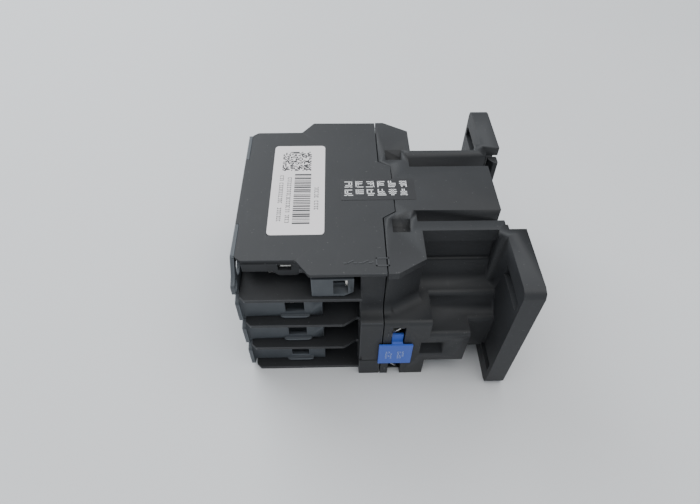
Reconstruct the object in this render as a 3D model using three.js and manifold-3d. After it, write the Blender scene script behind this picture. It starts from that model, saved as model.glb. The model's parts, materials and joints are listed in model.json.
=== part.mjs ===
// Three-pole control relay with built-in auxiliary contacts, lying on its side.
//
// Millimetres. The origin is the middle of the bottom of the bounding box.
//   X  depth: the operating face is at -X, the mounting back at +X
//   Y  height in use: the coil terminals are on the -Y side
//   Z  width: the relay lies on its -Z side, and the label is on its +Z side

import * as THREE from 'three';
import { mergeVertices } from 'three/addons/utils/BufferGeometryUtils.js';
import Module from 'manifold-3d';

const wasm = await Module();
wasm.setup();

// ---------------------------------------------------------------- driving dimensions

const gap = 0.3; // clearance between pieces that touch
const frontDepth = 45.05; // operating face to the seam between the two shells
const baseDepth = 43.25; // seam to the mounting back
const height = 84.5; // over the two mounting flanges
const sidePlate = 1.2; // plate that the relay lies on
const polePitch = 14.25; // main pole to main pole
const finThickness = 1.3; // barrier between two poles
const auxColumn = 11.65; // auxiliary contacts, between the last barrier and the label side
const poleCount = 3;

const finReach = 35; // half height over the barriers
const shoulderReach = 31.8; // half height of the walls near the seam
const plateReach = 34.4; // half height of the label-side plate at its widest
const plateNeck = 29; // half height of the label-side plate near the operating face
const noseReach = 14.8; // half height of the central part of the operating face
const coreReach = 20; // half height of the contact chamber's outside
const coreWall = 1.5;
const railReach = 18.5; // half height of the narrow back part of the base

const coverPlate = 1.2; // front plate of a terminal cover
const coverDepth = 26.05; // operating face to the back of a terminal cover
const coverWall = 1.3;
const screwToFace = 5.8; // main screw's axis to the outer face of its cover
const wireHole = 6; // wire entry, along X
const wireHoleHeight = 8; // wire entry, along Z
const screwAxis = 25.8; // half distance between the terminal screws of one pole
const auxScrewAxis = 25; // the same for the front auxiliary terminals
const rearAuxScrewAxis = 29.6; // the same for the rear auxiliary terminals
const accessRadius = 4.2; // screwdriver hole in front of a main terminal

const stroke = 6; // travel of the contact carrier
const contactGap = 4.6; // open gap at the main contacts
const auxContactGap = 4.5;
const bridgePlate = 1.6;
const bridgeHalf = 3.6; // half width of a main bridge
const auxBridgePlate = 1.1;
const auxBridgeHalf = 1.9;
const tipHeight = 1; // main contact tips
const auxTipHeight = 0.8;
const tipReach = 9.6; // half distance between a bridge's two contact tips
const auxTipReach = 9;
const strapThickness = 1.5; // main terminals
const strapHalf = 4.6;
const auxStrapThickness = 1;
const auxStrapHalf = 2.6;
const carrierHalf = 3.4; // half height of the contact carrier's comb

const channelDepth = 5.95; // rail channel, measured from the mounting back
const backWall = 1.6; // wall between the magnet and the rail channel
const railChannelNear = 18.3;
const railChannelFar = 19.5;
const stackHalf = 6; // half thickness of the laminated cores, along Z
const coreHalf = 20.5; // half length of the laminated cores, along Y
const legWidth = 5.5;
const legHeight = 13; // fixed core's legs
const armatureLeg = 5.5;
const middleLegHalf = 5.2;
const yokeDepth = 6; // fixed core
const armatureYoke = 5.5;
const cushionThickness = 1.4;
const windingDepth = 8.2; // winding, from the stack's face along Z

const coilBlockReach = 37.4; // half height over the coil terminal block
const coilBlockTop = 11.6; // the block's upper face, over the middle of the magnet
const stepTop = 4.6; // upper face of the lower step behind that block
const stepReach = 31.9; // half height of the step next to the flange
const ridgeReach = 26.3; // half height of the upper step
const blockRound = 1.7;
const wallFillet = 3.2; // between the base's walls and the coil terminal block
const tagThickness = 0.8;
const clipTravel = 3.5; // travel of the rail clip

// ---------------------------------------------------------------- derived places

const depth = frontDepth + baseDepth;
const width = sidePlate + poleCount * polePitch + auxColumn;
const front = -depth / 2;
const back = depth / 2;
const flangeEnd = height / 2;
const seam = front + frontDepth;
const baseFront = seam + gap;

const finTop = (n) => sidePlate + n * polePitch;
const poleClear = polePitch - finThickness;
const poleMiddle = (n) => finTop(n) + poleClear / 2;
const auxBottom = finTop(poleCount);
const auxMiddle = auxBottom + 5;
const auxTop = width - 2.5;
const magnetMiddle = poleMiddle(1);

const channelFloor = back - channelDepth;
const cavityEnd = channelFloor - backWall;
const yokeBack = cavityEnd - cushionThickness - 2 * gap;
const coreFace = yokeBack - yokeDepth - legHeight;
const armatureFace = coreFace - stroke - 0.1;
const armatureBack = armatureFace - armatureLeg - armatureYoke;
const crossheadFront = armatureBack - 6.5;
const chamberFloor = Math.min(seam - 10.7, crossheadFront - gap - 1.5);
const coilReach = stackHalf + windingDepth; // half width over the winding
const returnSpringOffset = stackHalf + 5;
const coilFront = armatureBack + armatureYoke + stroke + 0.6;
const coilEnd = yokeBack - yokeDepth - gap;

const coverBack = front + coverDepth;
const coverFace = screwAxis + screwToFace; // half height over the terminal covers
const holeFront = front + 14.35;
const holeBack = holeFront + wireHole;
const strapFront = holeBack + 0.6;
const tipFront = strapFront - tipHeight;
const bridgeTipFront = tipFront - contactGap - tipHeight;
const bridgeFront = bridgeTipFront - bridgePlate;
const combFront = front + 4.2;
const combBack = chamberFloor - stroke - 0.6;
const windowFront = bridgeFront - 6.6;

const auxCombBack = seam - 4.5 - stroke - 0.5;
const auxStrapFront = front + 17.95;
const auxBridgeFront = auxStrapFront - 2 * auxTipHeight - auxContactGap - auxBridgePlate;
const rearAuxStrap = seam - 11.9;
const rearAuxInner = auxCombBack - 9.3;
const rearBoxSpan = [rearAuxInner - 1.5, rearAuxStrap + 2.5];
const ncTip = rearAuxInner + auxStrapThickness + auxTipHeight;
const ncBridgeFront = ncTip + 0.2 + auxTipHeight;

const shoulderFront = seam - 7.4;
const coilBlockFront = seam - 7.2;
const coilBlockBack = seam + 15.2;
const coilSlotFront = seam + 2.9;
const coilSlotBack = coilSlotFront + 4.4;
const flangeFace = channelFloor - 0.3;
const clipBack = back - 0.4;
const clipFront = back - 3.6;
const clipLug = [flangeEnd - 9.05, flangeEnd - 7.25];
const clipWindow = [railChannelFar + 3.9, clipLug[1] + 0.4];

// The two ends of the relay: near has the coil terminals.
const sides = { near: -1, far: 1 };

const label = { x: [front + 10.25, front + 26.65], y: [-19.1, 21] };
const seal = { x: [seam - 12.3, seam + 10.7], y: [-4.9, 3.8] };
const stickerPocket = 0.6;
const shellScrewPlace = { y: 25.5, z: magnetMiddle + 17.2 };
const coilScrewY = -33.2;
const coilScrewHeights = [magnetMiddle - 17.3, magnetMiddle + 3.3];
const coilCells = [[gap, magnetMiddle - 13], [magnetMiddle - 0.1, magnetMiddle + 9.2]];

// ---------------------------------------------------------------- materials

const finish = (color, roughness, metalness = 0) =>
  new THREE.MeshStandardMaterial({ color, roughness, metalness });

const blackPlastic = finish(0x2b2c2f, 0.55);
const greyPlastic = finish(0x52565b, 0.5);
const bobbinPlastic = finish(0xd8d4c6, 0.6);
const labelWhite = finish(0xebe4e6, 0.45);
const sealBlack = finish(0x1c1d20, 0.4);
const tagBlue = finish(0x3557ad, 0.4);
const coreSteel = finish(0x85878a, 0.4, 1);
const springSteel = finish(0xa9abad, 0.3, 1);
const platedSteel = finish(0xb9b7ae, 0.35, 1);
const platedCopper = finish(0xc7c3b8, 0.3, 1);
const copper = finish(0xb8693d, 0.35, 1);
const rubber = finish(0x202020, 0.9);

// ---------------------------------------------------------------- solids

const grid = 1 / 512; // every corner lies on this grid, so that faces meant to be level are level

// A closed geometry as a solid that can be joined and cut.
function toSolid(geometry, matrix) {
  const bare = geometry.clone();
  bare.deleteAttribute('normal');
  bare.deleteAttribute('uv');
  if (matrix) bare.applyMatrix4(matrix);
  const places = bare.attributes.position.array;
  places.forEach((value, index) => {
    places[index] = Math.round(value / grid) * grid;
  });
  const merged = mergeVertices(bare, 1e-4);
  return new wasm.Manifold(
    new wasm.Mesh({
      numProp: 3,
      vertProperties: merged.attributes.position.array,
      triVerts: new Uint32Array(merged.index.array),
    }),
  );
}

function toGeometry(solid) {
  const mesh = solid.getMesh();
  const geometry = new THREE.BufferGeometry();
  geometry.setAttribute('position', new THREE.BufferAttribute(mesh.vertProperties, 3));
  geometry.setIndex(new THREE.BufferAttribute(mesh.triVerts, 1));
  geometry.computeVertexNormals();
  return geometry;
}

const join = (first, ...others) => others.reduce((sum, solid) => sum.add(solid), first);
const cut = (first, ...others) => others.reduce((rest, solid) => rest.subtract(solid), first);

// The span of a given half size about a middle.
const about = (middle, half) => [middle - half, middle + half];

// A box between two values on each axis, given in either order.
function block([x0, x1], [y0, y1], [z0, z1]) {
  const box = new THREE.BoxGeometry(Math.abs(x1 - x0), Math.abs(y1 - y0), Math.abs(z1 - z0));
  const middle = new THREE.Matrix4().makeTranslation((x0 + x1) / 2, (y0 + y1) / 2, (z0 + z1) / 2);
  return toSolid(box, middle);
}

// A closed outline through [u, v, radius] corners. A corner with a radius is rounded.
function outline(corners) {
  const shape = new THREE.Shape();
  corners.forEach(([u, v, radius = 0], index) => {
    const corner = new THREE.Vector2(u, v);
    const before = new THREE.Vector2(...corners.at(index - 1).slice(0, 2)).sub(corner);
    const after = new THREE.Vector2(...corners[(index + 1) % corners.length].slice(0, 2)).sub(corner);
    const half = Math.acos(before.dot(after) / (before.length() * after.length())) / 2;
    const trim = radius ? radius / Math.tan(half) : 0;
    const start = before.setLength(trim).add(corner);
    const end = after.setLength(trim).add(corner);
    if (index === 0) shape.moveTo(start.x, start.y);
    else shape.lineTo(start.x, start.y);
    if (radius) shape.quadraticCurveTo(u, v, end.x, end.y);
  });
  shape.closePath();
  return shape;
}

// Which way an outline's u and v and its length point, for a prism along each axis.
const prismAxes = {
  x: [[0, 1, 0], [0, 0, 1], [1, 0, 0]],
  y: [[0, 0, 1], [1, 0, 0], [0, 1, 0]],
  z: [[1, 0, 0], [0, 1, 0], [0, 0, 1]],
};

// A prism along an axis. Its corners are [y, z] along x, [z, x] along y and [x, y] along z.
function prism(axis, corners, from, to) {
  const shape = corners instanceof THREE.Shape ? corners : outline(corners);
  const solid = new THREE.ExtrudeGeometry(shape, {
    depth: Math.abs(to - from),
    bevelEnabled: false,
    curveSegments: 4,
  });
  const [u, v, along] = prismAxes[axis].map((direction) => new THREE.Vector3(...direction));
  const matrix = new THREE.Matrix4().makeBasis(u, v, along);
  matrix.setPosition(along.multiplyScalar(Math.min(from, to)));
  return toSolid(solid, matrix);
}

// A round bar along an axis, through the point [u, v] of the prism outlines above.
function bar(axis, [u, v], radius, from, to, facets = 16) {
  const circle = new THREE.Shape();
  for (let facet = 0; facet < facets; facet += 1) {
    const angle = (2 * Math.PI * facet) / facets;
    const place = [u + radius * Math.cos(angle), v + radius * Math.sin(angle)];
    if (facet === 0) circle.moveTo(...place);
    else circle.lineTo(...place);
  }
  circle.closePath();
  return prism(axis, circle, from, to);
}

// A concave fillet on a level face, along the foot of a wall between two [x, y] points.
// The wall is on the left of the way from the first point to the second.
function footFillet([x0, y0], [x1, y1], level, radius) {
  const profile = outline([
    [1, -1], [1, radius], [0, radius], [0, 0, radius * 0.98], [-radius, 0], [-radius, -1],
  ]);
  const along = new THREE.Vector3(x1 - x0, y1 - y0, 0);
  const length = along.length();
  const options = { depth: length, bevelEnabled: false, curveSegments: 4 };
  const solid = new THREE.ExtrudeGeometry(profile, options);
  along.normalize();
  const up = new THREE.Vector3(0, 0, 1);
  const inward = new THREE.Vector3().crossVectors(up, along);
  const matrix = new THREE.Matrix4().makeBasis(inward, up, along);
  matrix.setPosition(x0, y0, level);
  return toSolid(solid, matrix);
}

// A helix of round wire along an axis.
class Helix extends THREE.Curve {
  constructor(axis, radius, from, to, turns) {
    super();
    Object.assign(this, { axis, radius, from, to, turns });
  }

  getPoint(t, target = new THREE.Vector3()) {
    const angle = 2 * Math.PI * this.turns * t;
    const u = this.radius * Math.cos(angle);
    const v = this.radius * Math.sin(angle);
    const along = this.from + (this.to - this.from) * t;
    return this.axis === 'x' ? target.set(along, u, v) : target.set(v, along, u);
  }
}

function spring(axis, { radius, wire, turns }, from, to) {
  const section = new THREE.Shape().absarc(0, 0, wire / 2, 0, 2 * Math.PI);
  const path = new Helix(axis, radius, from + wire / 2, to - wire / 2, turns);
  const wound = new THREE.ExtrudeGeometry(section, {
    steps: Math.round(turns * 7),
    extrudePath: path,
    curveSegments: 3,
  });
  return toSolid(wound);
}

// ---------------------------------------------------------------- scene graph

const relay = new THREE.Group();

// A group at a place in its parent, turned about the X axis.
function groupAt([x, y, z], turn = 0, parent = relay) {
  const group = new THREE.Group();
  group.position.set(x, y, z);
  group.rotation.x = turn;
  parent.add(group);
  return group;
}

// One group for each end of the relay. What is modelled on the near side turns over to the far side.
function endGroups(parent) {
  return { near: groupAt([0, 0, 0], 0, parent), far: groupAt([0, 0, 0], Math.PI, parent) };
}

function add(name, solid, material, parent = relay, [x, y, z] = [0, 0, 0]) {
  const mesh = new THREE.Mesh(toGeometry(solid), material);
  mesh.name = name;
  mesh.position.set(x, y, z);
  parent.add(mesh);
  return mesh;
}

// ---------------------------------------------------------------- upper shell

// Label-side plate of the upper shell, widening towards the seam.
function labelPlate() {
  const corner = front + 1.25;
  const neckEnd = front + 18.75;
  const wideStart = front + 22.85;
  return [
    [front, -noseReach], [corner, -noseReach], [corner, -plateNeck + 1.5, 1], [corner + 1.9, -plateNeck, 1],
    [neckEnd, -plateNeck, 1], [wideStart, -plateReach, 1], [seam, -plateReach],
    [seam, plateReach], [wideStart, plateReach, 1], [neckEnd, plateNeck, 1],
    [corner + 1.9, plateNeck, 1], [corner, plateNeck - 1.5, 1], [corner, noseReach], [front, noseReach],
  ];
}

// A barrier. The ones between two poles curve in before they reach the coil terminal block.
function finOutline(side, curved) {
  const start = front + 1.55;
  const end = coilBlockFront + (curved ? 0 : 0.3);
  const inner = side * (coreReach - 0.5);
  const crest = side * finReach;
  const dip = side * (finReach - 2.5);
  const tail = curved ? [[end - 5.2, crest, 2], [end - 1.2, dip, 1], [end, dip]] : [[end, crest]];
  return [[start, inner], [start, side * (finReach - 1.6)], [start + 1.6, crest], ...tail, [end, inner]];
}

function barriers() {
  const fins = [];
  for (const side of Object.values(sides)) {
    fins.push(prism('z', finOutline(side, false), 0, sidePlate));
    for (let n = 1; n <= poleCount; n += 1) {
      fins.push(prism('z', finOutline(side, n < poleCount), finTop(n) - finThickness, finTop(n)));
    }
  }
  return fins;
}

// Rounded block that carries the coil terminals, cut at the seam into two halves.
function coilBlock(side, from, to) {
  const outer = side * coilBlockReach;
  const top = magnetMiddle + coilBlockTop;
  return prism('x', [[0, 0], [outer, 0], [outer, top, blockRound], [0, top]], from, to);
}

// Fillet between a straight wall and the block under it.
function wallFoot(side, from, to) {
  const wall = side * shoulderReach;
  const ends = side < 0 ? [[from, wall], [to, wall]] : [[to, wall], [from, wall]];
  return footFillet(...ends, magnetMiddle + coilBlockTop, wallFillet);
}

function frontAuxBlock(side) {
  const reach = side * 29.5;
  const span = [auxTop - 2.3, width - sidePlate];
  const face = block([front + 3.1, rearBoxSpan[0] - 0.25], [side * coreReach, reach], span);
  const lipTop = auxTop - 2.2;
  const lipFoot = auxTop - 4.2;
  const lip = prism('y', [
    [lipTop, holeFront - 2.5], [lipFoot, holeFront - 0.6],
    [lipFoot, holeFront + 4.6], [lipTop, holeFront + 6.6],
  ], reach - side * 1.4, reach);
  return join(face, lip);
}

// Tongue of the label-side plate that laps over the base in the middle of the seam.
function tongue(clearance) {
  const root = 13 + clearance;
  const tip = 10.3 + clearance;
  const end = seam + 4 + clearance;
  const top = clearance ? width + 1 : width;
  return prism('z', [
    [seam - 1, -root], [seam, -root], [end, -tip], [end, tip], [seam, root], [seam - 1, root],
  ], width - 2.2 - clearance, top);
}

function upperHousing() {
  const shell = join(
    block([front + 1.9, seam], [-coreReach, coreReach], [0, width - 0.1]),
    block([shoulderFront, seam], [-shoulderReach, shoulderReach], [0, width - 1]),
    prism('z', labelPlate(), width - sidePlate, width),
    block([front + 20, seam], [-shoulderReach, shoulderReach], [auxTop, width - 1]),
    block([front, front + 3], [-noseReach, noseReach], [auxTop, width]),
    block([front, front + 3], [-noseReach, noseReach], [0, sidePlate]),
    ...barriers(),
    ...Object.values(sides).flatMap((side) => [
      coilBlock(side, coilBlockFront, seam),
      wallFoot(side, coilBlockFront, seam),
      frontAuxBlock(side),
    ]),
    tongue(0),
  );
  return cut(shell, ...chamberCuts(), ...terminalCuts(), ...magnetCuts(), ...upperDetailCuts());
}

// Contact chambers, the slot that the carrier's comb slides in and the stem's guide.
function chamberCuts() {
  const inside = coreReach - coreWall;
  const open = front + 1;
  const guide = about(0, carrierHalf + gap);
  const cuts = [];
  for (let n = 0; n < poleCount; n += 1) {
    cuts.push(block([open, chamberFloor], [-inside, inside], [finTop(n), finTop(n) + poleClear]));
  }
  cuts.push(
    block([open, seam - 4.5], [-inside, inside], [auxBottom, auxTop]),
    block([open, chamberFloor], guide, [sidePlate, auxTop]),
    block([open, seam], guide, about(magnetMiddle, 5.5)),
  );
  return cuts;
}

// Slots in the chamber walls for the straps, and holes for the shell screws.
function terminalCuts() {
  const slotted = (start, thickness) => [start - gap, start + thickness + gap];
  const auxSpan = about(auxMiddle, auxStrapHalf + gap);
  const cuts = [];
  for (const side of Object.values(sides)) {
    const wall = [side * (coreReach - coreWall - 1), side * (coreReach + 1)];
    for (let n = 0; n < poleCount; n += 1) {
      cuts.push(block(slotted(strapFront, strapThickness), wall, about(poleMiddle(n), strapHalf + gap)));
    }
    const screw = [side * shellScrewPlace.y, shellScrewPlace.z];
    cuts.push(
      block(slotted(auxStrapFront, auxStrapThickness), wall, auxSpan),
      block(slotted(rearAuxInner, auxStrapThickness), wall, auxSpan),
      bar('x', screw, 2.1, coilBlockFront - 2, seam + 1),
      bar('x', screw, 3.2, coilBlockFront - 2, coilBlockFront + 2.6),
    );
  }
  return cuts;
}

// Space for the moving magnet: its long yoke, and the coil or the crosshead across it.
function magnetSpace(from, yokeTo, coilTo) {
  return [
    block([from, yokeTo], about(0, coreHalf + 1.3), about(magnetMiddle, stackHalf + 1.6)),
    block([from, coilTo], about(0, 15.1), about(magnetMiddle, coilReach + 2.1)),
  ];
}

const magnetCuts = () => magnetSpace(chamberFloor + 1.5, seam + 1, seam + 1);

function pocket({ x, y }) {
  return block([x[0] - gap, x[1] + gap], [y[0] - gap, y[1] + gap], [width - stickerPocket, width + 1]);
}

// Mark grooves that part the upper from the lower coil terminal.
function coilGroove(from, to) {
  return block([from, to], [-coilBlockReach - 1, -coilBlockReach + 0.4], [9.7, 10.2]);
}

function upperDetailCuts() {
  const notch = [-coilBlockReach - 1, -coilBlockReach + 0.5];
  const cuts = [
    pocket(label),
    pocket(seal),
    block([coilBlockFront - 0.1, coilBlockFront + 0.9], notch, [magnetMiddle - 12.1, magnetMiddle - 8.6]),
    coilGroove(coilBlockFront, seam + 1),
  ];
  for (const side of Object.values(sides)) {
    cuts.push(
      block([holeFront - 0.7, holeFront + 3.2], [side * 24, side * 31], [auxTop - 1.6, width - 1.4]),
      block([front + 4.2, rearBoxSpan[0] - 1.45], [side * coreReach, side * 28.1], [auxTop - 2.4, width - 1.4]),
    );
  }
  return cuts.concat(coilTerminalCuts());
}

// ---------------------------------------------------------------- base

const chamfer = { plateStart: 3.1, wallStart: 2.6, end: 11.6, rise: 5.1 };

// Half outline of the base near the seam, with its corner cut off towards the back.
function shoulderOutline(reach, start) {
  const end = seam + chamfer.end;
  const low = reach - chamfer.rise;
  return [
    [baseFront, -reach], [seam + start, -reach], [end, -low],
    [end, low], [seam + start, reach], [baseFront, reach],
  ];
}

// The two mounting flanges, with the lips that stand in from them.
function flangeSolids() {
  return [
    block([flangeFace, back], [-flangeEnd, -railChannelNear], [0, width]),
    block([flangeFace, back], [railChannelFar, flangeEnd], [0, width]),
    block([flangeFace - 2.1, flangeFace + 1], [-railChannelNear - 3, -railReach + 2], [0, width]),
    block([flangeFace - 2.1, flangeFace + 1], [railChannelFar + 2, railReach - 2], [0, width]),
    block([back - 3, back - 0.4], [-railChannelNear - 1, -railChannelNear + 1.9], [8, width - 8]),
  ];
}

// Stepped blocks that join the coil terminal block to a flange.
function rearBlocks(side) {
  const foot = magnetMiddle - 12.4;
  const rounded = (reach, top, from, to) => prism('x', [
    [side * 15, foot], [side * reach, foot], [side * reach, top, blockRound], [side * 15, top],
  ], from, to);
  const low = magnetMiddle + stepTop;
  return [
    rounded(coilBlockReach, low, coilBlockBack - 1, coilBlockBack + 13.1),
    rounded(stepReach, low, coilBlockBack + 12, flangeFace + 1),
    rounded(ridgeReach, magnetMiddle + coilBlockTop, coilBlockBack - 1, flangeFace + 1),
  ];
}

// Fillets at the foot of the base's walls, along the straight part and the slanted part.
function baseFeet(side) {
  const turnX = seam + chamfer.wallStart;
  const points = [
    [baseFront, side * shoulderReach],
    [turnX, side * shoulderReach],
    [seam + chamfer.end, side * (shoulderReach - chamfer.rise)],
  ];
  const level = magnetMiddle + coilBlockTop;
  return [0, 1].map((index) => {
    const ends = side < 0 ? [points[index], points[index + 1]] : [points[index + 1], points[index]];
    return footFillet(...ends, level, wallFillet);
  });
}

function baseHousing() {
  const shell = join(
    block([baseFront, channelFloor], [-railReach, railReach], [0, width]),
    prism('z', shoulderOutline(plateReach, chamfer.plateStart), auxTop, width),
    prism('z', shoulderOutline(shoulderReach, chamfer.wallStart), 0, width - 2),
    ...Object.values(sides).flatMap((side) => [
      coilBlock(side, baseFront, coilBlockBack),
      ...rearBlocks(side),
      ...baseFeet(side),
    ]),
    ...flangeSolids(),
  );
  const magnet = magnetSpace(seam - 1, cavityEnd, coilEnd + gap);
  return cut(
    shell,
    tongue(gap),
    pocket(seal),
    ...magnet,
    ...baseSideCuts(),
    ...fixingSlots(),
    ...flangeRounds(),
    clipPocket(),
    ...coilTerminalCuts(),
    coilGroove(baseFront - 1, coilSlotFront + 0.1),
  );
}

const accessorySlot = { y: [10.2, 14.7], depth: 5 };

// Accessory slots, hook recesses, hollows beside the rail part, the terminal blocks' windows
// and the shell screws' holes.
function baseSideCuts() {
  const cuts = [];
  for (const side of Object.values(sides)) {
    const [inner, outer] = accessorySlot.y.map((y) => side * y);
    const window = [magnetMiddle - 7.6, magnetMiddle - 0.4];
    cuts.push(
      block([seam + 10.5, channelFloor + 1], [inner, outer], [width - accessorySlot.depth, width + 1]),
      block([seam + 2.7, seam + 8.4], [side * 13.7, side * 19], [width - 3.5, width + 1]),
      block([seam + 11.6, flangeFace - 2.1], [side * 17, side * 20], [magnetMiddle + 19, width - 5]),
      block([coilBlockBack - 2.3, coilBlockBack + 5.5], [side * 31.5, side * 38], window),
      bar('x', [side * shellScrewPlace.y, shellScrewPlace.z], 1.9, seam - 1, seam + 8.6),
    );
  }
  return cuts;
}

const fixingSlot = { inner: 15.2, outer: 1.75, halfWidth: 2.15, fromSide: 8.7 };
const flangeRound = 2.5;

// Slots in the flanges for the fixing screws.
function fixingSlots() {
  const cuts = [];
  for (const side of Object.values(sides)) {
    const ends = [side * (flangeEnd - fixingSlot.inner), side * (flangeEnd - fixingSlot.outer)];
    for (const z of [fixingSlot.fromSide, width - fixingSlot.fromSide]) {
      cuts.push(block([flangeFace - 1, back + 1], ends, about(z, fixingSlot.halfWidth)));
    }
  }
  return cuts;
}

// Wedges that take off the flanges' outer corners.
function flangeRounds() {
  const cuts = [];
  for (const side of Object.values(sides)) {
    for (const z of [0, width]) {
      const inward = z ? -1 : 1;
      const corner = side * flangeEnd;
      cuts.push(prism('x', [
        [corner, z], [corner - side * flangeRound, z], [corner - side * 0.7, z + inward * 0.7],
        [corner, z + inward * flangeRound],
      ], flangeFace - 1, back + 1));
    }
  }
  return cuts;
}

const clipHalf = 10;

// Pocket in the far flange that the rail clip slides in, with the lug that its spring pushes on.
function clipPocket() {
  const middle = width / 2;
  const x = [back - 3.9, back + 1];
  const nose = [railChannelFar - 1, railChannelFar + clipTravel + 0.8];
  return cut(
    join(
      block(x, nose, [3.3, width - 3.3]),
      block(x, [railChannelFar, flangeEnd + 1], about(middle, clipHalf + gap)),
    ),
    block([back - 4, back - 0.6], clipLug, about(middle, 2.5)),
  );
}

// Coil terminals: a wire slot that opens on the near face, and a hole for each screw.
function coilTerminalCuts() {
  const cells = coilCells.map((cell) => block(
    [coilBlockFront + 1.5, coilSlotBack + 2],
    [-coilBlockReach + 1.2, -27.2],
    [cell[0] + 0.6, cell[1] - 0.6],
  ));
  const holes = coilScrewHeights.map((z) => (
    bar('x', [coilScrewY, z], coilScrewSize.headRadius + 0.7, coilBlockFront - 1, coilBlockFront + 2)
  ));
  const face = [-coilBlockReach - 1, -coilBlockReach + 2];
  const mouth = block([coilSlotFront, coilSlotBack], face, [-1, coilCells[1][1]]);
  return [...cells, ...holes, mouth];
}

// ---------------------------------------------------------------- covers

// Front plate of a terminal cover, with a rounded scallop over each pole.
function scallops(side) {
  const inner = side * (noseReach + 0.1);
  const valley = side * (finReach - 4);
  const crest = side * (finReach - 1);
  const points = [[inner, gap], [valley, gap]];
  for (let n = 0; n <= poleCount; n += 1) {
    const low = n ? finTop(n) + 0.2 : 0.9;
    const high = n < poleCount ? finTop(n + 1) - finThickness - 0.2 : width - 4.6;
    points.push([valley, low], [crest, low + 1.5, 1.2], [crest, high - 1.5, 1.2], [valley, high]);
  }
  points.push([side * 27.4, width, 1.4], [inner, width]);
  return points;
}

// Block of a terminal cover over the terminal of one pole, with the lip under its wire entry.
function coverBlock(side, middle) {
  const half = poleClear / 2 - gap;
  const face = side * coverFace;
  const root = middle - 4.7;
  const lip = middle - 5.6;
  return [
    block([front + 0.5, coverBack], [side * (coreReach + gap), face], about(middle, half)),
    prism('y', [
      [root, holeFront - 1.6], [root, holeBack + 1.6], [lip, holeBack + 0.2], [lip, holeFront - 0.2],
    ], face - side * 0.2, face + side * 1.3),
  ];
}

// The hollow of such a block, its wire entry with a stepped corner, and the screwdriver hole.
function coverBlockCuts(side, middle) {
  const inside = poleClear / 2 - gap - 1.1;
  const face = side * coverFace;
  const high = middle + poleClear / 2 - gap;
  const entry = [middle - 3.8, middle - 3.8 + wireHoleHeight];
  return [
    cut(
      block(
        [front + 2.6, coverBack - 1.2],
        [side * (coreReach + gap - 1), face - side * coverWall],
        about(middle, inside),
      ),
      block([holeFront + 0.2, holeFront + 2.6], [face, face - side * 2.6], [high - 3.2, high]),
    ),
    cut(
      block([holeFront, holeBack], [face - side * 2, face + side * 3], entry),
      block([holeFront - 1, holeFront + 2.6], [face + side, face - side * 2.6], [middle + 2.2, high]),
    ),
    bar('x', [side * screwAxis, middle], accessRadius, front - 1, front + 4),
  ];
}

function terminalCover(side) {
  const solids = [prism('x', scallops(side), front, front + coverPlate)];
  const cuts = [
    bar('x', [side * auxScrewAxis, auxMiddle], 3.2, front - 1, front + 4),
    bar('x', [side * 32.2, auxMiddle - 1.3], 1.7, front - 1, front + 4, 12),
  ];
  for (let n = 0; n < poleCount; n += 1) {
    solids.push(...coverBlock(side, poleMiddle(n)));
    cuts.push(...coverBlockCuts(side, poleMiddle(n)));
  }
  return cut(join(...solids), ...cuts);
}

// Box over the rear auxiliary terminal.
function rearAuxBox(side) {
  const face = side * 34;
  const inside = side * (coreReach + gap);
  const [from, to] = rearBoxSpan;
  const low = auxBottom + gap;
  const high = auxTop - gap;
  return cut(
    prism('x', [[inside, low], [face, low], [face, high], [inside, high]], from, to),
    prism('y', [
      [low - 1, to - 4.6], [low - 1, to + 1], [low + 2.2, to + 1], [low + 2.2, to],
    ], inside, face + side),
    block([from + 1.2, to - 1.2], [inside - side, face - side * 1.2], [low + 2.4, high - 0.8]),
    block([from + 6.4, from + 10.7], [face - side * 3, face + side], [low + 1.2, high - 0.6]),
    bar('x', [side * rearAuxScrewAxis, auxMiddle], 1.8, from - 1, from + 2),
  );
}

// Central front panel with the window for the carrier's indicator.
function frontPanel() {
  const through = [front - 1, front + 3];
  const hooks = [-1, 1].flatMap((side) => [magnetMiddle - 15, magnetMiddle + 19].map(
    (z) => block(through, [side * 8, side * 11.4], about(z, 3.2)),
  ));
  return cut(
    join(
      block([front + 0.1, front + 1.6], about(0, noseReach - gap), [sidePlate + gap, auxTop - gap]),
      block([front, front + 1], about(0, 8.2), about(magnetMiddle, 9.2)),
    ),
    block(through, about(0, 4.6), about(magnetMiddle, 5.6)),
    ...hooks,
  );
}

// ---------------------------------------------------------------- contacts

// Comb that carries every moving bridge, with a stem and a crosshead for the armature.
function contactCarrier() {
  const half = about(0, carrierHalf);
  const combTop = auxTop - 0.5;
  const crosshead = [crossheadFront, armatureBack - gap];
  const arm = returnSpringOffset + 3.6;
  const cross = join(
    block(crosshead, about(0, 13.5), about(magnetMiddle, stackHalf)),
    block(crosshead, about(0, 4.5), about(magnetMiddle, arm)),
  );
  return cut(
    join(
      block([combFront, combBack], half, [sidePlate + 0.6, combTop]),
      block([combBack - 1, auxCombBack], half, [auxBottom + gap, combTop]),
      block([front + 0.8, combFront + 1], about(0, 4.2), about(magnetMiddle, 5.2)),
      block([combBack - 1, crossheadFront + 1], half, about(magnetMiddle, 5)),
      cross,
      ...armatureHooks(),
    ),
    ...bridgeWindows(),
    pinHole(2.3),
  );
}

function bridgeWindows() {
  const through = about(0, carrierHalf + 1);
  const auxSpan = about(auxMiddle, auxBridgeHalf + gap);
  const windows = [
    block([auxBridgeFront - 5, auxBridgeFront + auxBridgePlate + gap], through, auxSpan),
    block([ncBridgeFront - 1.1 - auxTipHeight, ncBridgeFront + auxBridgePlate + 4.2], through, auxSpan),
  ];
  for (let n = 0; n < poleCount; n += 1) {
    const span = about(poleMiddle(n), bridgeHalf + gap);
    windows.push(block([windowFront, bridgeTipFront + gap], through, span));
  }
  return windows;
}

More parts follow.
